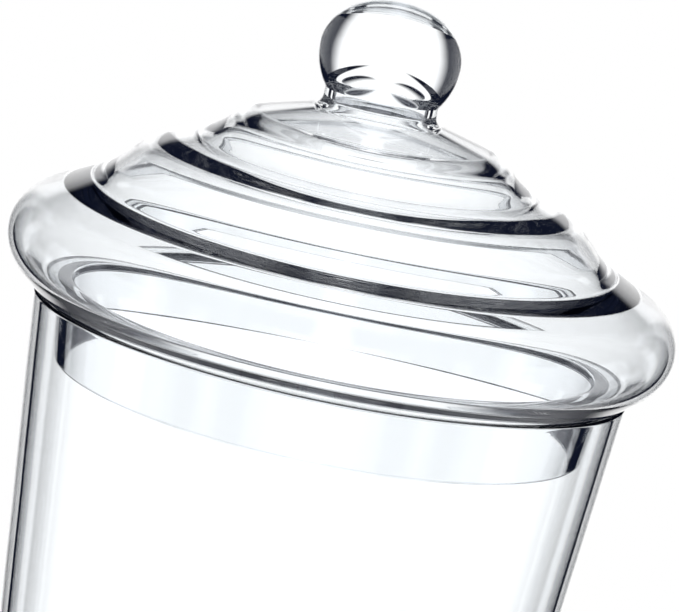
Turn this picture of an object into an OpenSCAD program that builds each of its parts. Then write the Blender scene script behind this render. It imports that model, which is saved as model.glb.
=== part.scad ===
// Footed apothecary jar of clear glass, with a stepped lid that lifts off.
// The jar's foot stands on z = 0, and the axis of the whole jar is z.

/* [Bowl] */
// Outside diameter of the bowl at its mouth
mouth_d = 116; // [90:1:150]
// Height of the bowl, from the top of the stem to the mouth
bowl_h = 170; // [120:1:230]
// Slope of the bowl's side, in degrees from upright
side_taper = 4.66; // [2:0.1:8]
// Thickness of the bowl's side
bowl_wall = 1.8; // [1.6:0.1:4]
// Thickness of the bowl's floor at its middle
bowl_floor = 6; // [4:0.5:10]
// Height of the heel, where the underside turns into the side
heel_h = 7; // [4:0.5:12]
// Outside radius that rounds the heel
heel_r = 18; // [10:1:24]

/* [Stem and foot] */
// Length of the stem, from the foot to the bowl
stem_h = 26; // [22:1:40]
// Diameter of the stem where it is thinnest
stem_d = 17; // [14:1:22]
// Diameter of the stem where it joins the foot and the bowl
stem_flare_d = 29; // [26:1:36]
// Diameter of the knop, the bead halfway up the stem
knop_d = 31; // [26:1:38]
// Diameter of the foot
foot_d = 100; // [80:1:120]
// Height of the foot, from the table to the stem
foot_h = 9; // [8:0.5:14]
// Thickness of the foot at its edge
foot_edge = 3.6; // [3:0.1:5]
// Width of the flat ring that the foot rests on
rest_w = 6; // [4:0.5:10]
// Height of the hollow under the foot
foot_hollow = 2.4; // [1:0.2:3]

/* [Lid rim] */
// How far the rolled rim stands out past the mouth
rim_overhang = 7; // [5:0.5:9]
// Outside radius of the roll
roll_r = 8.9; // [7:0.1:10]
// Height of the roll's widest line above the mouth
roll_h = 10.5; // [9:0.1:13]
// Slope of the underside that tucks in to the seat, in degrees
tuck_slope = 42; // [36:1:50]
// Thickness of the lid's shell
lid_wall = 2; // [1.6:0.1:3]

/* [Lid steps] */
// Slope of the shoulder inside the roll, in degrees
shoulder_slope = 27; // [20:0.5:30]
// Width of the shoulder
shoulder_w = 11.7; // [10:0.1:14]
// Width of the lower riser
lower_riser_w = 7.5; // [6:0.5:9]
// Height of the lower riser
lower_riser_h = 7.5; // [6:0.1:9]
// Width of the lower tread
lower_tread_w = 10.5; // [8:0.1:12]
// Rise of the lower tread
lower_tread_h = 3.4; // [2.5:0.1:5]
// Width of the upper riser
upper_riser_w = 5.4; // [4:0.1:8]
// Height of the upper riser
upper_riser_h = 5.2; // [4:0.1:8]
// Slope of the crown round the neck, in degrees
crown_slope = 15; // [10:1:20]

// Radius that blends the shoulder into the lower riser
valley_r = 12; // [10:0.5:18]
// Radius that rounds the steps, as far as their stretches leave room
step_r = 20; // [8:1:24]

/* [Knob] */
// Diameter of the neck under the knob
neck_d = 22; // [18:0.5:26]
// Height of the neck
neck_h = 3.3; // [2:0.1:5]
// Radius that blends the crown into the neck
neck_fillet = 2.4; // [1:0.1:3]
// Diameter of the knob
knob_d = 27.2; // [24:0.1:34]
// Height of the knob above its widest line
knob_top_h = 10.4; // [9:0.1:15]
// Half-height of the oval that shapes the knob below its widest line
knob_low_h = 13.6; // [10:0.1:16]
// Height of the bubble that the neck's hollow makes in the knob
bubble_h = 4.2; // [2:0.2:6]

/* [Collar] */
// Depth of the collar below the mouth
collar_depth = 12.8; // [8:0.1:20]
// Clearance between the collar and the bowl, level with the mouth
collar_gap = 3; // [1.5:0.1:4]
// Slope of the collar's side, in degrees from upright
collar_taper = 6.5; // [5:0.1:8]
// Thickness of the collar
collar_wall = 2.2; // [1.8:0.1:3]

/* [Hidden] */
$fn = 96;
glass = [0.84, 0.91, 0.94, 0.45];

mouth_r = mouth_d / 2;
mouth_in_r = mouth_r - bowl_wall;
bowl_z = foot_h + stem_h;
mouth_z = bowl_z + bowl_h;
heel_out_r = mouth_r - (bowl_h - heel_h) * tan(side_taper);
heel_in_z = bowl_z + heel_h + bowl_floor;
heel_in_r = mouth_in_r - (mouth_z - heel_in_z) * tan(side_taper);
edge_r = 0.8;
lip_r = 0.5;

foot_r = foot_d / 2;
rest_r = foot_r - edge_r;
knop_z = foot_h + stem_h / 2;
knop_half = 6.2;
flare_h = 5;

roll_c = [mouth_r + rim_overhang - roll_r, roll_h];
collar_top_r = mouth_in_r - collar_gap;
collar_low_r = collar_top_r - collar_depth * tan(collar_taper);
tuck_from = roll_c + roll_r * [sin(tuck_slope), -cos(tuck_slope)];
seat_out_r = tuck_from.x - tuck_from.y / tan(tuck_slope);
shoulder = roll_c + roll_r * [sin(shoulder_slope), cos(shoulder_slope)];
outer_valley = shoulder + shoulder_w * [-1, tan(shoulder_slope)];
lower_step = outer_valley + [-lower_riser_w, lower_riser_h];
inner_valley = lower_step + [-lower_tread_w, lower_tread_h];
upper_step = inner_valley + [-upper_riser_w, upper_riser_h];
neck_r = neck_d / 2;
crown = [neck_r, upper_step.y + (upper_step.x - neck_r) * tan(crown_slope)];
neck_top = crown.y + neck_h;
knob_r = knob_d / 2;
knob_start = acos(neck_r / knob_r);
knob_mid = neck_top + knob_low_h * sin(knob_start);

function unit(v) = v / norm(v);
function heading(v) = atan2(v.y, v.x);

// Points of an arc of radius r about c, from angle a to angle b
function arc(c, r, a, b, n = 10) =
    [for (i = [0 : n]) let (t = a + (b - a) * i / n) c + r * [cos(t), sin(t)]];

// The arc that rounds the corner q of a path that comes from p and goes on to s
function rounded(p, q, s, r) =
    let (
        u = unit(p - q),
        v = unit(s - q),
        half = acos(u * v) / 2,
        reach = min(r / tan(half), 0.48 * min(norm(p - q), norm(s - q))),
        fit_r = reach * tan(half),
        c = q + unit(u + v) * fit_r / sin(half),
        start = heading(q + u * reach - c),
        side = cross(-u, v) > 0 ? 1 : -1
    )
    arc(c, fit_r, start, start + side * (180 - 2 * half));

function flat(p) = [p.x, p.y];

// A path through corners given as [radius from the axis, height, rounding]
function path(pts) = [
    flat(pts[0]),
    for (i = [1 : len(pts) - 2])
        each rounded(flat(pts[i - 1]), flat(pts[i]), flat(pts[i + 1]), pts[i].z),
    flat(pts[len(pts) - 1])
];

// The same path moved sideways by w, to the left of the way it runs
function beside(pts, w) = [
    for (i = [0 : len(pts) - 1])
        let (t = unit(pts[min(i + 1, len(pts) - 1)] - pts[max(i - 1, 0)]))
        pts[i] + w * [-t.y, t.x]
];

function backwards(pts) = [for (i = [len(pts) - 1 : -1 : 0]) pts[i]];

module lathe(pts) {
    rotate_extrude() polygon(pts);
}

// The lid's outside, from the seat's inner edge round the roll and up to the neck
lid_outside = concat(
    path([
        [collar_top_r, 0],
        [seat_out_r, 0, lid_wall + 1],
        tuck_from
    ]),
    arc(roll_c, roll_r, tuck_slope - 86, 86 - shoulder_slope, 20),
    path([
        shoulder,
        [outer_valley.x, outer_valley.y, valley_r],
        [lower_step.x, lower_step.y, step_r],
        [inner_valley.x, inner_valley.y, step_r],
        [upper_step.x, upper_step.y, step_r],
        [crown.x, crown.y, neck_fillet],
        [neck_r, neck_top]
    ])
);

module jar_bowl() {
    outside = path([
        [0, bowl_z],
        [stem_flare_d / 2, bowl_z, 1],
        [heel_out_r, bowl_z + heel_h, heel_r],
        [mouth_r, mouth_z, lip_r],
        [mouth_r - bowl_wall / 2, mouth_z]
    ]);
    inside = path([
        [mouth_r - bowl_wall / 2, mouth_z],
        [mouth_in_r, mouth_z, lip_r],
        [heel_in_r, heel_in_z, heel_r - bowl_wall],
        [stem_flare_d / 2, bowl_z + bowl_floor, 40],
        [0, bowl_z + bowl_floor]
    ]);
    color(glass) lathe(concat(outside, inside));
}

module jar_stem() {
    low = foot_h + flare_h;
    high = bowl_z - flare_h;
    waist_r = stem_d / 2;
    neckline_r = (waist_r + stem_flare_d / 2) / 2;
    side = path([
        [stem_flare_d / 2, foot_h],
        [neckline_r, foot_h + 1.5, 5],
        [waist_r, low, 5],
        [waist_r, knop_z - knop_half, 2.2],
        [knop_d / 2, knop_z, 4.5],
        [waist_r, knop_z + knop_half, 2.2],
        [waist_r, high, 5],
        [neckline_r, bowl_z - 1.5, 5],
        [stem_flare_d / 2, bowl_z]
    ]);
    color(glass) lathe(concat([[0, foot_h]], side, [[0, bowl_z]]));
}

module jar_foot() {
    rest_in_r = rest_r - rest_w;
    color(glass) lathe(path([
        [0, foot_hollow],
        [rest_in_r - rest_w, foot_hollow, 8],
        [rest_in_r, 0, edge_r],
        [foot_r, 0, edge_r],
        [foot_r, foot_edge, foot_edge / 2],
        [stem_flare_d / 2 + flare_h, foot_h - 1.4, 8],
        [stem_flare_d / 2, foot_h, 1],
        [0, foot_h]
    ]));
}

module lid_shell() {
    inside = backwards(beside(lid_outside, lid_wall));
    color(glass) translate([0, 0, mouth_z]) lathe(concat(lid_outside, inside));
}

module lid_collar() {
    color(glass) translate([0, 0, mouth_z]) lathe(path([
        [collar_top_r, lid_wall],
        [collar_top_r, 0, 0.1],
        [collar_low_r, -collar_depth, 1],
        [collar_low_r - collar_wall, -collar_depth, 1],
        [collar_top_r - collar_wall, lid_wall, 2],
        [collar_top_r, lid_wall]
    ]));
}

module lid_knob() {
    hollow_r = neck_r - lid_wall;
    bubble = [for (i = [10 : -1 : 0])
        let (t = 90 * i / 10) [hollow_r * cos(t), neck_top + bubble_h * sin(t)]];
    low = [for (i = [10 : -1 : 0])
        let (t = -knob_start * i / 10) [knob_r * cos(t), knob_mid + knob_low_h * sin(t)]];
    high = [for (i = [1 : 12])
        let (t = 90 * i / 12) [knob_r * cos(t), knob_mid + knob_top_h * sin(t)]];
    color(glass) translate([0, 0, mouth_z]) lathe(concat(bubble, low, high));
}

jar_bowl();
jar_stem();
jar_foot();
lid_shell();
lid_collar();
lid_knob();
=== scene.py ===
"""Clear glass apothecary jar with a stepped lid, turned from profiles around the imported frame."""

import math

import bmesh
import bpy
from bpy.props import (
    FloatProperty,
    FloatVectorProperty,
    IntProperty,
    PointerProperty,
    StringProperty,
)
from bpy.types import Operator, Panel, PropertyGroup
from mathutils import Matrix, Vector


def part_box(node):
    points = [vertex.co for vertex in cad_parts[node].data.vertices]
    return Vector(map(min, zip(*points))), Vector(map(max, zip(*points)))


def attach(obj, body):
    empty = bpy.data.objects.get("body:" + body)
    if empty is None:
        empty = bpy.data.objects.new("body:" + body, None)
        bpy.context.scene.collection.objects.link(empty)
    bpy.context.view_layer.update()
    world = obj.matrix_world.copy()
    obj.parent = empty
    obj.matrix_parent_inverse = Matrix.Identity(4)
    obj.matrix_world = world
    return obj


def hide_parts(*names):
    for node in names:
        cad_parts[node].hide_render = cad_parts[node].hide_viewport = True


bl_info = {
    "name": "Glass Apothecary Jar",
    "version": (1, 0, 0),
    "blender": (4, 5, 0),
    "location": "View3D > Sidebar > Apothecary Jar",
    "description": "Turns a footed glass jar and its stepped lid, and sets up a white studio round them",
    "category": "Add Mesh",
}

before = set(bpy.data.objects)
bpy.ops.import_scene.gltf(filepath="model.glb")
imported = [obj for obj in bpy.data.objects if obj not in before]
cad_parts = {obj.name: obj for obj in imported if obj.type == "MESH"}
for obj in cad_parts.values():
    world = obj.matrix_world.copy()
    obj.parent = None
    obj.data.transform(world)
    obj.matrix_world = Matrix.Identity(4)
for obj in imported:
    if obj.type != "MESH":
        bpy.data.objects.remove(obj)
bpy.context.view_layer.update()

MM = 0.001
BOWL_LOW, BOWL_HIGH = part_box("jar_bowl")
FOOT_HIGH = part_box("jar_foot")[1]
COLLAR_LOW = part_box("lid_collar")[0]
SHELL_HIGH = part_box("lid_shell")[1]
KNOB_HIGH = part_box("lid_knob")[1]
MOUTH = BOWL_HIGH.z
# Roundings that hot glass takes at its corners
FLOOR_ROUNDING = 40 * MM
STEM_ROUNDING = 5 * MM
WAIST_ROUNDING = 2.2 * MM
KNOP_ROUNDING = 4.5 * MM
FOOT_ROUNDING = 8 * MM
FOOT_LIP = 0.8 * MM
VALLEY_ROUNDING = 12 * MM
STEP_ROUNDING = 20 * MM
NECK_ROUNDING = 2.4 * MM
SEAT_ROUNDING = 1 * MM
COLLAR_TOP_ROUNDING = 1.5 * MM
COLLAR_LIP = 1 * MM
COLLAR_FILLET = 1.2 * MM
# Points that an arc is drawn with
ROLL_STEPS = 24
FILLET_STEPS = 8
DOME_STEPS = 20
BALL_STEPS = 40
# The lid only rests on the mouth, so a film of air is left between them
AIR_FILM = 0.05 * MM


# Settings


def length(name, description, default, low=0.0):
    """A size in metres that the sidebar shows as a distance."""
    return FloatProperty(
        name=name, description=description, default=default, min=low, unit="LENGTH", precision=5
    )


def angle(name, description, degrees):
    """An angle that is given in degrees and kept in radians."""
    return FloatProperty(
        name=name, description=description, default=math.radians(degrees), subtype="ANGLE"
    )


class JarSizes(PropertyGroup):
    """Sizes of the bowl, the stem and the foot."""

    mouth_radius: length("Mouth radius", "Outside radius of the bowl's mouth", BOWL_HIGH.x)
    taper: angle("Taper", "Slope of the bowl's side from upright", 4.66)
    wall: length("Wall", "Thickness of the bowl's side", 1.8 * MM)
    floor: length("Floor", "Thickness of the bowl's floor", 6.0 * MM)
    heel_height: length("Heel height", "Rise from the stem to the heel", 7.0 * MM)
    heel_radius: length("Heel radius", "Radius that rounds the heel outside", 18.0 * MM)
    lip_radius: length("Lip radius", "Rounding of the fire-polished lip", 0.5 * MM)
    stem_radius: length("Stem radius", "Radius of the stem where it is thinnest", 8.5 * MM)
    flare_radius: length("Flare radius", "Radius of the stem at both ends", 14.5 * MM)
    knop_radius: length("Knop radius", "Radius of the bead halfway up the stem", 15.5 * MM)
    foot_radius: length("Foot radius", "Radius of the foot", FOOT_HIGH.x)
    foot_edge: length("Foot edge", "Thickness of the foot at its edge", 3.6 * MM)
    foot_hollow: length("Foot hollow", "Height of the hollow under the foot", 2.4 * MM)
    rest_width: length("Rest width", "Width of the ring that the foot rests on", 6.0 * MM)
    neckline_height: length("Neckline height", "Rise of the neckline from either end of the stem", 1.5 * MM)
    flare_height: length("Flare height", "Height of the flare at either end of the stem", 5.0 * MM)
    knop_half: length("Knop half-height", "Half the height of the knop", 6.2 * MM)
    foot_dome: length("Foot dome", "Width of the foot's dome round the stem", 5.0 * MM)
    foot_dome_rise: length("Foot dome rise", "Rise of the foot's dome to the stem", 1.4 * MM)


class LidSizes(PropertyGroup):
    """Sizes of the lid's shell, collar and knob. Heights are above the mouth."""

    rim_radius: length("Rim radius", "Radius of the rolled rim", SHELL_HIGH.x)
    roll_radius: length("Roll radius", "Outside radius of the roll", 8.9 * MM)
    roll_height: length("Roll height", "Height of the roll's widest line", 10.5 * MM)
    tuck_slope: angle("Tuck slope", "Slope of the roll's underside", 42.0)
    shoulder_slope: angle("Shoulder slope", "Slope of the shoulder inside the roll", 27.0)
    shoulder_width: length("Shoulder width", "Width of the shoulder", 11.7 * MM)
    lower_riser_width: length("Lower riser width", "Width of the lower riser", 7.5 * MM)
    lower_riser: length("Lower riser", "Height of the lower riser", 7.5 * MM)
    tread_width: length("Tread width", "Width of the lower tread", 10.5 * MM)
    tread_rise: length("Tread rise", "Rise of the lower tread", 3.4 * MM)
    upper_riser_width: length("Upper riser width", "Width of the upper riser", 5.4 * MM)
    upper_riser: length("Upper riser", "Height of the upper riser", 5.2 * MM)
    crown_slope: angle("Crown slope", "Slope of the crown round the neck", 15.0)
    wall: length("Wall", "Thickness of the shell", 2.0 * MM)
    roll_wall: length("Roll wall", "Thickness of the roll, thinnest where it was blown widest", 1.4 * MM)
    neck_radius: length("Neck radius", "Radius of the neck under the knob", 11.0 * MM)
    neck_height: length("Neck height", "Height of the neck", 3.3 * MM)
    knob_radius: length("Knob radius", "Radius of the knob", KNOB_HIGH.x)
    knob_low_half: length("Knob low half", "Half-height of the oval below the widest line", 13.6 * MM)
    bubble_height: length("Bubble height", "Height of the bubble in the knob", 6.6 * MM)
    collar_gap: length("Collar gap", "Gap between collar and bowl at the mouth", 3.0 * MM)
    collar_wall: length("Collar wall", "Thickness of the collar", 2.2 * MM)
    collar_taper: angle("Collar taper", "Slope of the collar's side from upright", 6.5)


class GlassLook(PropertyGroup):
    """Finish of the glass."""

    tint: StringProperty(
        name="Tint",
        description="sRGB colour that the glass gives to what is behind it",
        default="#FAFCFE",
    )
    inner: StringProperty(
        name="Inner",
        description="sRGB colour of light that is reflected inside the glass",
        default="#D6DAE6",
    )
    ior: FloatProperty(name="IOR", description="Soda-lime glass", default=1.52, min=1.0, max=2.0)
    ripple: length("Ripple", "Height of the waves that blowing leaves in the surface", 0.02 * MM)
    facets: IntProperty(name="Facets", description="Steps in a full turn", default=216, min=24)


class StudioLook(PropertyGroup):
    """Camera, backdrop, floor and the dark gaps between the white panels."""

    elevation: angle("Elevation", "Height of the camera above level", 10.9)
    roll: angle("Roll", "Turn of the camera about its own axis", 11.75)
    distance: length("Distance", "From the camera to the jar's axis", 0.668)
    lens: FloatProperty(name="Lens", description="Focal length in millimetres", default=184.7)
    aim: FloatVectorProperty(
        name="Aim", description="Point that the camera looks at", default=(0.0002, 0.0, 0.2113)
    )
    backdrop: StringProperty(name="Backdrop", description="sRGB colour of the studio", default="#FFFFFF")
    floor: StringProperty(name="Floor", description="sRGB colour of the floor", default="#FAFAFA")
    floor_radius: length("Floor radius", "Radius of the floor", 3.0)
    floor_solid: length("Solid floor", "Radius inside which the floor is solid", 0.12)
    floor_faded: length("Faded floor", "Radius at which the floor has faded away", 0.45)
    flag: StringProperty(name="Flag", description="sRGB colour of the dark gaps", default="#0E1220")
    panel_strength: FloatProperty(
        name="Panel strength", description="Brightness of the panels in the glass", default=1.25, min=0.0
    )


# Small helpers


def linear(hex_colour):
    """A linear RGBA colour from an sRGB hex value."""
    parts = [int(hex_colour[i : i + 2], 16) / 255 for i in (1, 3, 5)]
    return [c / 12.92 if c <= 0.04045 else ((c + 0.055) / 1.055) ** 2.4 for c in parts] + [1.0]


def add_node(tree, kind, settings=None, links=None):
    """Adds a node with its settings. A link maps an input to another node's output."""
    node = tree.nodes.new(kind)
    for key, value in (settings or {}).items():
        if isinstance(key, str) and key in node.bl_rna.properties:
            setattr(node, key, value)
        else:
            node.inputs[key].default_value = value
    for key, output in (links or {}).items():
        tree.links.new(output, node.inputs[key])
    return node


def new_material(name):
    """A material with an empty node tree."""
    material = bpy.data.materials.new(name)
    material.use_nodes = True
    material.node_tree.nodes.clear()
    return material


# Profiles and turning


def start_path(bm, x, z):
    """The first point of a profile, in the plane of the x and z axes."""
    return bm.verts.new((x, 0, z))


def line_to(bm, last, x, z):
    """A straight stretch of profile, and the point where it ends."""
    point = bm.verts.new((x, 0, z))
    bm.edges.new((last, point))
    return point


def path_through(bm, last, corners):
    """A profile on through corners given as (radius from the axis, height, rounding)."""
    made = []
    for x, z, rounding in corners:
        last = line_to(bm, last, x, z)
        made.append((last, rounding))
    return last, made


def arc_to(bm, last, centre, turn, steps):
    """A profile on along an arc about centre, and the point where it ends."""
    made = bmesh.ops.spin(
        bm,
        geom=[last],
        cent=(centre[0], 0, centre[1]),
        axis=(0, -1, 0),
        dvec=(0, 0, 0),
        angle=turn,
        steps=steps,
        use_merge=False,
        use_duplicate=False,
    )
    return made["geom_last"][0]


def round_corners(bm, corners, segments=9):
    """Rounds each corner to its radius, as far as the stretches beside it leave room."""
    for corner, radius in corners:
        if radius <= 0 or len(corner.link_edges) != 2:
            continue
        ways = [edge.other_vert(corner).co - corner.co for edge in corner.link_edges]
        turn = math.pi - ways[0].angle(ways[1])
        reach = min(radius * math.tan(turn / 2), 0.48 * min(way.length for way in ways))
        bmesh.ops.bevel(
            bm,
            geom=[corner],
            offset=reach,
            offset_type="OFFSET",
            segments=segments,
            profile=0.5,
            affect="VERTICES",
            material=-1,
        )


def hold_straights(bm, reach=0.25 * MM):
    """Adds a point near both ends of each long straight, which keeps its shading true right up to
    the roundings beside it. Without them light is trapped in the walls."""
    for edge in bm.edges[:]:
        span = edge.calc_length()
        if span > 4 * reach:
            near, far = edge.verts
            rest, _ = bmesh.utils.edge_split(edge, near, reach / span)
            rest = edge if far in edge.verts else rest
            bmesh.utils.edge_split(rest, far, reach / rest.calc_length())


def turn_profile(bm, steps):
    """Spins the profile into a closed solid of revolution with its faces outwards."""
    hold_straights(bm)
    bmesh.ops.spin(
        bm,
        geom=bm.verts[:] + bm.edges[:],
        cent=(0, 0, 0),
        axis=(0, 0, 1),
        dvec=(0, 0, 0),
        angle=math.tau,
        steps=steps,
        use_merge=True,
        use_duplicate=False,
    )
    bmesh.ops.remove_doubles(bm, verts=bm.verts, dist=1e-7)
    bmesh.ops.recalc_face_normals(bm, faces=bm.faces)
    if bm.calc_volume(signed=True) < 0:
        bmesh.ops.reverse_faces(bm, faces=bm.faces)


def finish_piece(bm, name, materials, body, welds=()):
    """Makes the turned mesh an object that rides on its body and stands for its CAD node.

    Each weld is a height, with an inner and an outer radius, at which the glass runs on into the
    next piece: its flat faces get the second material, which light passes straight through.
    """
    for face in bm.faces:
        face.smooth = True
        middle = face.calc_center_median()
        level = abs(face.normal.z) > 0.99
        for z, inner, outer in welds:
            if level and abs(middle.z - z) < 1e-6 and inner < middle.xy.length < outer:
                face.material_index = 1
    for edge in bm.edges:
        if len({face.material_index for face in edge.link_faces}) > 1:
            edge.smooth = False
    mesh = bpy.data.meshes.new(name)
    bm.to_mesh(mesh)
    bm.free()
    for material in materials:
        mesh.materials.append(material)
    piece = bpy.data.objects.new(name + "_glass", mesh)
    bpy.context.scene.collection.objects.link(piece)
    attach(piece, body)
    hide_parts(name)
    return piece


# Materials

# From crest to crest of the slow waves, and the length, spacing and depth of the grinding
# scratches, which are drawn coarser than real ones so that they show
WAVE_LENGTH = 50 / 3 * MM
SCRATCH_LENGTH = 500 / 9 * MM
SCRATCH_SPACING = 10 / 9 * MM
SCRATCH_DEPTH = 0.03 * MM


def clear_glass():
    """Blown soda-lime glass: colourless, wet-looking, with slow waves that bend what is behind it."""
    look = bpy.context.scene.glass_look
    material = bpy.data.materials.get("blown_soda_lime_glass")
    if material:
        return material
    material = new_material("blown_soda_lime_glass")
    tree = material.node_tree
    place = add_node(tree, "ShaderNodeTexCoord")
    waves = add_node(
        tree,
        "ShaderNodeTexNoise",
        {"Scale": 1 / WAVE_LENGTH, "Detail": 1.0, "Roughness": 0.4},
        {"Vector": place.outputs["Object"]},
    )
    bump = add_node(
        tree,
        "ShaderNodeBump",
        {"Strength": 1.0, "Distance": look.ripple},
        {"Height": waves.outputs["Fac"]},
    )
    shader = add_node(
        tree,
        "ShaderNodeBsdfPrincipled",
        {
            "Base Color": linear(look.tint),
            "Roughness": 0.0,
            "Specular Tint": linear(look.inner),
            "IOR": look.ior,
            "Transmission Weight": 1.0,
        },
        {"Normal": bump.outputs["Normal"]},
    )
    add_node(tree, "ShaderNodeOutputMaterial", None, {"Surface": shader.outputs["BSDF"]})
    return material


def ground_glass():
    """The collar's ground sides: clear, with faint level scratches that catch dark streaks."""
    material = bpy.data.materials.get("ground_soda_lime_glass")
    if material:
        return material
    material = clear_glass().copy()
    material.name = "ground_soda_lime_glass"
    tree = material.node_tree
    bump = next(n for n in tree.nodes if n.type == "BUMP")
    shader = next(n for n in tree.nodes if n.type == "BSDF_PRINCIPLED")
    place = next(n for n in tree.nodes if n.type == "TEX_COORD")
    level = add_node(
        tree,
        "ShaderNodeMapping",
        {"Scale": (1 / SCRATCH_LENGTH, 1 / SCRATCH_LENGTH, 1 / SCRATCH_SPACING)},
        {"Vector": place.outputs["Object"]},
    )
    scratches = add_node(
        tree, "ShaderNodeTexNoise", {"Scale": 1.0, "Detail": 3.0}, {"Vector": level.outputs["Vector"]}
    )
    grind = add_node(
        tree,
        "ShaderNodeBump",
        {"Strength": 0.35, "Distance": SCRATCH_DEPTH},
        {"Height": scratches.outputs["Fac"], "Normal": bump.outputs["Normal"]},
    )
    tree.links.new(grind.outputs["Normal"], shader.inputs["Normal"])
    return material


def fused_joint():
    """Where two gathers of glass are fused there is no surface: light goes straight on."""
    material = bpy.data.materials.get("fused_joint")
    if material:
        return material
    material = new_material("fused_joint")
    tree = material.node_tree
    shader = add_node(tree, "ShaderNodeBsdfPrincipled", {"Alpha": 0.0})
    add_node(tree, "ShaderNodeOutputMaterial", None, {"Surface": shader.outputs["BSDF"]})
    return material


# Operators


class JAR_OT_add_bowl(Operator):
    """Turn the tapered bowl"""

    bl_idname = "jar.add_bowl"
    bl_label = "Add Bowl"

    def execute(self, context):
        s = context.scene.jar_sizes
        low, high = BOWL_LOW.z, BOWL_HIGH.z - AIR_FILM
        slope = math.tan(s.taper)
        heel_z = low + s.heel_height
        heel_x = s.mouth_radius - (high - heel_z) * slope
        in_z = heel_z + s.floor
        in_x = s.mouth_radius - s.wall - (high - in_z) * slope
        bm = bmesh.new()
        last = start_path(bm, 0, low)
        last, corners = path_through(
            bm,
            last,
            [
                (s.flare_radius, low, 0),
                (heel_x, heel_z, s.heel_radius),
                (s.mouth_radius, high, s.lip_radius),
                (s.mouth_radius - s.wall, high, s.lip_radius),
                (in_x, in_z, s.heel_radius - s.wall),
                (s.flare_radius, low + s.floor, FLOOR_ROUNDING),
                (0, low + s.floor, 0),
            ],
        )
        round_corners(bm, corners)
        turn_profile(bm, context.scene.glass_look.facets)
        finish_piece(bm, "jar_bowl", [clear_glass(), fused_joint()], "jar", [(low, 0, s.flare_radius)])
        return {"FINISHED"}


class JAR_OT_add_stem(Operator):
    """Turn the stem with its knop"""

    bl_idname = "jar.add_stem"
    bl_label = "Add Stem"

    def execute(self, context):
        s = context.scene.jar_sizes
        low, high = FOOT_HIGH.z, BOWL_LOW.z
        middle = (low + high) / 2
        neckline = (s.stem_radius + s.flare_radius) / 2
        half = [
            (neckline, s.neckline_height, STEM_ROUNDING),
            (s.stem_radius, s.flare_height, STEM_ROUNDING),
            (s.stem_radius, (high - low) / 2 - s.knop_half, WAIST_ROUNDING),
        ]
        bm = bmesh.new()
        last = start_path(bm, 0, low)
        last, corners = path_through(
            bm,
            last,
            [(s.flare_radius, low, 0)]
            + [(x, low + z, r) for x, z, r in half]
            + [(s.knop_radius, middle, KNOP_ROUNDING)]
            + [(x, high - z, r) for x, z, r in reversed(half)]
            + [(s.flare_radius, high, 0), (0, high, 0)],
        )
        round_corners(bm, corners)
        turn_profile(bm, context.scene.glass_look.facets)
        welds = [(low, 0, s.flare_radius), (high, 0, s.flare_radius)]
        finish_piece(bm, "jar_stem", [clear_glass(), fused_joint()], "jar", welds)
        return {"FINISHED"}


class JAR_OT_add_foot(Operator):
    """Turn the round foot"""

    bl_idname = "jar.add_foot"
    bl_label = "Add Foot"

    def execute(self, context):
        s = context.scene.jar_sizes
        high = FOOT_HIGH.z
        rest_in = s.foot_radius - FOOT_LIP - s.rest_width
        bm = bmesh.new()
        last = start_path(bm, 0, s.foot_hollow)
        last, corners = path_through(
            bm,
            last,
            [
                (rest_in - s.rest_width, s.foot_hollow, FOOT_ROUNDING),
                (rest_in, 0, FOOT_LIP),
                (s.foot_radius, 0, FOOT_LIP),
                (s.foot_radius, s.foot_edge, s.foot_edge / 2),
                (s.flare_radius + s.foot_dome, high - s.foot_dome_rise, FOOT_ROUNDING),
                (s.flare_radius, high, 0),
                (0, high, 0),
            ],
        )
        round_corners(bm, corners)
        turn_profile(bm, context.scene.glass_look.facets)
        finish_piece(bm, "jar_foot", [clear_glass(), fused_joint()], "jar", [(high, 0, s.flare_radius)])
        return {"FINISHED"}


def uphill(slope):
    """The way straight out of a surface that rises at this slope towards the axis."""
    return Vector((math.sin(slope), math.cos(slope)))


def lid_outline(s):
    """The shell's outside from the tuck to the neck, as corners, with the roll's centre."""
    centre = Vector((s.rim_radius - s.roll_radius, MOUTH + s.roll_height))
    tuck = centre + s.roll_radius * Vector((math.sin(s.tuck_slope), -math.cos(s.tuck_slope)))
    shoulder = centre + s.roll_radius * uphill(s.shoulder_slope)
    valley = shoulder + s.shoulder_width * Vector((-1, math.tan(s.shoulder_slope)))
    lower = valley + Vector((-s.lower_riser_width, s.lower_riser))
    tread = lower + Vector((-s.tread_width, s.tread_rise))
    upper = tread + Vector((-s.upper_riser_width, s.upper_riser))
    crown = Vector((s.neck_radius, upper.y + (upper.x - s.neck_radius) * math.tan(s.crown_slope)))
    top = Vector((s.neck_radius, crown.y + s.neck_height))
    return centre, tuck, shoulder, [valley, lower, tread, upper, crown, top]


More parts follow.
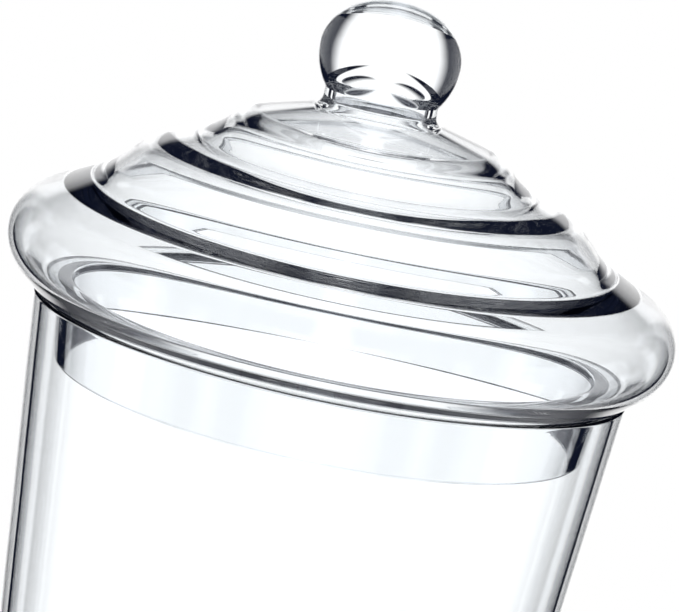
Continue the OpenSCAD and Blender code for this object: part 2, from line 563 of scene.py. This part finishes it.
class JAR_OT_add_lid_shell(Operator):
    """Turn the lid's stepped shell with its rolled rim"""

    bl_idname = "jar.add_lid_shell"
    bl_label = "Add Lid Shell"

    def execute(self, context):
        s = context.scene.lid_sizes
        jar = context.scene.jar_sizes
        centre, tuck, shoulder, steps = lid_outline(s)
        seat_x = tuck.x - (tuck.y - MOUTH) / math.tan(s.tuck_slope)
        collar_x = jar.mouth_radius - jar.wall - s.collar_gap
        seat_in = collar_x - s.collar_wall
        roundings = [VALLEY_ROUNDING, *[STEP_ROUNDING] * 3, NECK_ROUNDING, 0]
        outer = [(p.x, p.y, r) for p, r in zip(steps, roundings)]
        turn = math.pi - s.tuck_slope - s.shoulder_slope
        weld_x = collar_x + COLLAR_FILLET
        bm = bmesh.new()
        corners = []
        last = start_path(bm, seat_in, MOUTH)
        last, made = path_through(
            bm,
            last,
            [
                (weld_x, MOUTH, 0),
                (seat_x, MOUTH, s.wall + SEAT_ROUNDING),
                (tuck.x, tuck.y, 0),
            ],
        )
        corners += made
        last = arc_to(bm, last, centre, turn, ROLL_STEPS)
        last, made = path_through(bm, last, outer)
        corners += made
        # Back down the inside: each corner's shift across and down from its corner outside, and
        # its rounding. The glass is thickest under the outer valley, which has a flat ledge below
        valley, lower, tread, upper, crown, top = steps
        shifts = [
            (top, -s.wall, 0, 0),
            (crown, -s.wall, 1.7 * MM, 3 * MM),
            (upper, -1 * MM, 2.2 * MM, 10 * MM),
            (tread, -0.3 * MM, 2.9 * MM, 8 * MM),
            (lower, -0.6 * MM, 2.4 * MM, 10 * MM),
            (valley, 1.4 * MM, 4.4 * MM, 2 * MM),
            (valley, 6.8 * MM, 5.0 * MM, 3 * MM),
        ]
        inner = [(corner.x + across, corner.y - down, r) for corner, across, down, r in shifts]
        last, made = path_through(bm, last, inner)
        corners += made
        inside = centre + (s.roll_radius - s.roll_wall) * uphill(s.shoulder_slope)
        last = line_to(bm, last, inside.x, inside.y)
        last = arc_to(bm, last, centre, -turn, ROLL_STEPS)
        inner_seat_x = seat_x - s.wall * math.tan(s.tuck_slope / 2) - (s.wall - s.roll_wall)
        last, made = path_through(
            bm,
            last,
            [
                (inner_seat_x, MOUTH + s.wall, SEAT_ROUNDING),
                (seat_in, MOUTH + s.wall, COLLAR_TOP_ROUNDING),
                (seat_in, MOUTH, 0),
            ],
        )
        corners += made
        round_corners(bm, corners)
        turn_profile(bm, context.scene.glass_look.facets)
        welds = [(MOUTH, seat_in, weld_x), (top.y, top.x - s.wall, top.x)]
        finish_piece(bm, "lid_shell", [clear_glass(), fused_joint()], "lid", welds)
        return {"FINISHED"}


class JAR_OT_add_lid_collar(Operator):
    """Turn the collar that hangs into the mouth"""

    bl_idname = "jar.add_lid_collar"
    bl_label = "Add Lid Collar"

    def execute(self, context):
        s = context.scene.lid_sizes
        jar = context.scene.jar_sizes
        top_x = jar.mouth_radius - jar.wall - s.collar_gap
        low_x = top_x - (MOUTH - COLLAR_LOW.z) * math.tan(s.collar_taper)
        bm = bmesh.new()
        weld_x = top_x + COLLAR_FILLET
        last = start_path(bm, weld_x, MOUTH)
        last = arc_to(bm, last, (weld_x, MOUTH - COLLAR_FILLET), math.pi / 2, FILLET_STEPS)
        last, corners = path_through(
            bm,
            last,
            [
                (low_x, COLLAR_LOW.z, COLLAR_LIP),
                (low_x - s.collar_wall, COLLAR_LOW.z, COLLAR_LIP),
                (top_x - s.collar_wall, MOUTH, 0),
                (weld_x, MOUTH, 0),
            ],
        )
        round_corners(bm, corners)
        turn_profile(bm, context.scene.glass_look.facets)
        finish_piece(bm, "lid_collar", [ground_glass(), fused_joint()], "lid", [(MOUTH, 0, weld_x)])
        return {"FINISHED"}


class JAR_OT_add_lid_knob(Operator):
    """Turn the ball knob over its bubble"""

    bl_idname = "jar.add_lid_knob"
    bl_label = "Add Lid Knob"

    def execute(self, context):
        s = context.scene.lid_sizes
        steps = lid_outline(s)[-1]
        low = steps[-1].y
        start = math.acos(s.neck_radius / s.knob_radius)
        middle = low + s.knob_low_half * math.sin(start)
        top_half = KNOB_HIGH.z - middle
        hollow = s.neck_radius - s.wall
        bm = bmesh.new()
        last = start_path(bm, 0, low + s.bubble_height)
        for i in range(1, DOME_STEPS + 1):
            t = math.pi / 2 * i / DOME_STEPS
            last = line_to(bm, last, hollow * math.sin(t), low + s.bubble_height * math.cos(t))
        last = line_to(bm, last, s.neck_radius, low)
        for i in range(1, BALL_STEPS + 1):
            t = -start + (math.pi / 2 + start) * i / BALL_STEPS
            half = s.knob_low_half if t < 0 else top_half
            last = line_to(bm, last, s.knob_radius * math.cos(t), middle + half * math.sin(t))
        turn_profile(bm, context.scene.glass_look.facets)
        finish_piece(bm, "lid_knob", [clear_glass(), fused_joint()], "lid", [(low, hollow, s.neck_radius)])
        return {"FINISHED"}


class JAR_OT_add_studio(Operator):
    """Set up the camera, the floor and the white world with its dark gaps"""

    bl_idname = "jar.add_studio"
    bl_label = "Add Studio"

    def execute(self, context):
        look = context.scene.studio_look
        self.add_camera(context, look)
        self.add_world(context, look)
        self.add_floor(context, look)
        context.scene.view_settings.view_transform = "Standard"
        # Light turns many times inside the walls before it leaves them
        cycles = context.scene.cycles
        cycles.max_bounces = 40
        cycles.transmission_bounces = 36
        cycles.glossy_bounces = 32
        cycles.transparent_max_bounces = 24
        return {"FINISHED"}

    def add_camera(self, context, look):
        camera = bpy.data.objects.new("camera", bpy.data.cameras.new("camera"))
        context.scene.collection.objects.link(camera)
        back = Vector((0, -math.cos(look.elevation), math.sin(look.elevation)))
        camera.data.lens = look.lens
        camera.data.clip_start = 0.01
        camera.data.clip_end = 50
        turned = (-back).to_track_quat("-Z", "Y").to_matrix().to_4x4()
        roll = Matrix.Rotation(look.roll, 4, "Z")
        stand = Matrix.Translation(Vector(look.aim) + back * look.distance)
        camera.matrix_world = stand @ turned @ roll
        context.scene.camera = camera

    def add_world(self, context, look):
        world = bpy.data.worlds.new("studio")
        context.scene.world = world
        world.use_nodes = True
        tree = world.node_tree
        tree.nodes.clear()
        place = add_node(tree, "ShaderNodeTexCoord")
        axes = add_node(tree, "ShaderNodeSeparateXYZ", None, {"Vector": place.outputs["Generated"]})
        x, y, z = axes.outputs
        path = add_node(tree, "ShaderNodeLightPath")
        turn = add_node(tree, "ShaderNodeMath", {"operation": "ARCTAN2"}, {0: x, 1: y})
        rise = add_node(tree, "ShaderNodeMath", {"operation": "ARCSINE"}, {0: z})

        # Where a ray goes, and what it has met: surfaces crossed, and bounces inside the glass
        term = {
            "crossed": path.outputs["Transmission Depth"],
            "bounced": path.outputs["Glossy Depth"],
            "camera": path.outputs["Is Camera Ray"],
            "diffuse": path.outputs["Is Diffuse Ray"],
        }
        for name, source in (("heading", turn), ("height", rise)):
            degrees = add_node(
                tree, "ShaderNodeMath", {"operation": "MULTIPLY", 1: 180 / math.pi}, {0: source.outputs[0]}
            )
            term[name] = degrees.outputs[0]

        # Degrees from the nearest of four white panels, and from the nearer of two
        for name, half in (("off_four", 45.0), ("off_two", 90.0)):
            wrapped = add_node(
                tree, "ShaderNodeMath", {"operation": "WRAP", 1: half, 2: -half}, {0: term["heading"]}
            )
            off = add_node(tree, "ShaderNodeMath", {"operation": "ABSOLUTE"}, {0: wrapped.outputs[0]})
            term[name] = off.outputs[0]

        # Zones of the surroundings: each fades in from the first angle to the second
        for name, source, start, full in (
            ("below_top", "height", 62.0, 50.0),
            ("ceiling", "height", 15.0, 25.0),
            ("over_panel", "height", 12.0, 18.0),
            ("past_line", "off_four", 3.0, 8.0),
            ("past_strip", "off_four", 5.0, 9.0),
            ("past_ring", "off_four", 5.0, 10.0),
            ("past_edge", "off_four", 7.0, 13.0),
            ("past_panel", "off_four", 14.0, 22.0),
            ("gap_start", "off_four", 26.0, 29.0),
            ("gap_end", "off_four", 43.0, 40.0),
            ("wide_gap", "off_two", 28.0, 46.0),
        ):
            zone = add_node(
                tree,
                "ShaderNodeMapRange",
                {"interpolation_type": "SMOOTHSTEP", "From Min": start, "From Max": full},
                {"Value": term[source]},
            )
            term[name] = zone.outputs["Result"]

        # Kinds of ray, by what they have met. A wall is crossed in two surfaces
        for name, source, test, count in (
            ("outside", "crossed", "LESS_THAN", 0.5),
            ("one_piece", "crossed", "LESS_THAN", 2.5),
            ("three_walls", "crossed", "GREATER_THAN", 5.5),
            ("four_walls", "crossed", "GREATER_THAN", 6.5),
            ("direct", "bounced", "LESS_THAN", 0.5),
            ("turned_back", "bounced", "GREATER_THAN", 0.5),
            ("piped", "bounced", "GREATER_THAN", 1.5),
            ("lost", "bounced", "GREATER_THAN", 4.5),
        ):
            kind = add_node(tree, "ShaderNodeMath", {"operation": test, 1: count}, {0: term[source]})
            term[name] = kind.outputs[0]

        # What each kind of ray sees dark. MULTIPLY is both, and MAXIMUM is either
        for name, operation, first, second in (
            ("not_panel", "MAXIMUM", "past_panel", "ceiling"),
            ("mirrored", "MULTIPLY", "outside", "not_panel"),
            ("far_ring", "MULTIPLY", "three_walls", "turned_back"),
            ("ringed", "MULTIPLY", "far_ring", "past_ring"),
            ("deep", "MULTIPLY", "four_walls", "past_edge"),
            ("piped_off", "MULTIPLY", "piped", "past_line"),
            ("between", "MULTIPLY", "gap_start", "gap_end"),
            ("above", "MULTIPLY", "over_panel", "past_strip"),
            ("gaps", "MAXIMUM", "between", "above"),
            ("gaps_or_deep", "MAXIMUM", "gaps", "deep"),
            ("low_gaps", "MULTIPLY", "gaps_or_deep", "below_top"),
            ("solid_dark", "MULTIPLY", "wide_gap", "below_top"),
            ("solid", "MULTIPLY", "one_piece", "direct"),
            ("seen", "MAXIMUM", "camera", "diffuse"),
        ):
            joined = add_node(
                tree, "ShaderNodeMath", {"operation": operation}, {0: term[first], 1: term[second]}
            )
            term[name] = joined.outputs[0]
        thin_dark = term["low_gaps"]
        for name in ("mirrored", "ringed", "piped_off", "lost"):
            either = add_node(
                tree, "ShaderNodeMath", {"operation": "MAXIMUM"}, {0: thin_dark, 1: term[name]}
            )
            thin_dark = either.outputs[0]

        dark = add_node(
            tree,
            "ShaderNodeMix",
            {"data_type": "FLOAT"},
            {0: term["solid"], 2: thin_dark, 3: term["solid_dark"]},
        )
        colour = add_node(
            tree,
            "ShaderNodeMix",
            {"data_type": "RGBA", 6: linear(look.backdrop), 7: linear(look.flag)},
            {0: dark.outputs[0]},
        )
        # The glass sees the panels and gaps, and all else sees a plain white room
        through = add_node(
            tree,
            "ShaderNodeBackground",
            {"Strength": look.panel_strength},
            {"Color": colour.outputs[2]},
        )
        plain = add_node(
            tree, "ShaderNodeBackground", {"Strength": 1.0, "Color": linear(look.backdrop)}
        )
        mixed = add_node(
            tree,
            "ShaderNodeMixShader",
            None,
            {0: term["seen"], 1: through.outputs[0], 2: plain.outputs[0]},
        )
        add_node(tree, "ShaderNodeOutputWorld", None, {"Surface": mixed.outputs[0]})

    def add_floor(self, context, look):
        bm = bmesh.new()
        bmesh.ops.create_circle(bm, cap_ends=True, segments=96, radius=look.floor_radius)
        mesh = bpy.data.meshes.new("floor")
        bm.to_mesh(mesh)
        bm.free()
        floor = bpy.data.objects.new("floor", mesh)
        context.scene.collection.objects.link(floor)
        # Matt paper has no shine, and this sheet fades out long before its edge would show
        material = new_material("matt_white_sweep")
        tree = material.node_tree
        place = add_node(tree, "ShaderNodeTexCoord")
        reach = add_node(
            tree, "ShaderNodeVectorMath", {"operation": "LENGTH"}, {0: place.outputs["Object"]}
        )
        fade = add_node(
            tree,
            "ShaderNodeMapRange",
            {
                "interpolation_type": "SMOOTHSTEP",
                "From Min": look.floor_solid,
                "From Max": look.floor_faded,
            },
            {"Value": reach.outputs["Value"]},
        )
        matt = add_node(tree, "ShaderNodeBsdfDiffuse", {"Color": linear(look.floor)})
        clear = add_node(tree, "ShaderNodeBsdfTransparent")
        mixed = add_node(
            tree,
            "ShaderNodeMixShader",
            None,
            {0: fade.outputs["Result"], 1: matt.outputs[0], 2: clear.outputs[0]},
        )
        add_node(tree, "ShaderNodeOutputMaterial", None, {"Surface": mixed.outputs[0]})
        mesh.materials.append(material)


class JAR_PT_sidebar(Panel):
    """Lists the steps that build the jar"""

    bl_idname = "JAR_PT_sidebar"
    bl_label = "Apothecary Jar"
    bl_space_type = "VIEW_3D"
    bl_region_type = "UI"
    bl_category = "Apothecary Jar"

    def draw(self, context):
        for step in STEPS:
            self.layout.operator(step.bl_idname)


SETTINGS = {
    "jar_sizes": JarSizes,
    "lid_sizes": LidSizes,
    "glass_look": GlassLook,
    "studio_look": StudioLook,
}
STEPS = (
    JAR_OT_add_bowl,
    JAR_OT_add_stem,
    JAR_OT_add_foot,
    JAR_OT_add_lid_shell,
    JAR_OT_add_lid_collar,
    JAR_OT_add_lid_knob,
    JAR_OT_add_studio,
)
CLASSES = (*SETTINGS.values(), *STEPS, JAR_PT_sidebar)


def register():
    for cls in CLASSES:
        bpy.utils.register_class(cls)
    for name, cls in SETTINGS.items():
        setattr(bpy.types.Scene, name, PointerProperty(type=cls))


def unregister():
    for name in SETTINGS:
        delattr(bpy.types.Scene, name)
    for cls in reversed(CLASSES):
        bpy.utils.unregister_class(cls)


def main():
    """Builds everything in order."""
    register()
    bpy.ops.jar.add_bowl()
    bpy.ops.jar.add_stem()
    bpy.ops.jar.add_foot()
    bpy.ops.jar.add_lid_shell()
    bpy.ops.jar.add_lid_collar()
    bpy.ops.jar.add_lid_knob()
    bpy.ops.jar.add_studio()


if __name__ == "__main__":
    main()
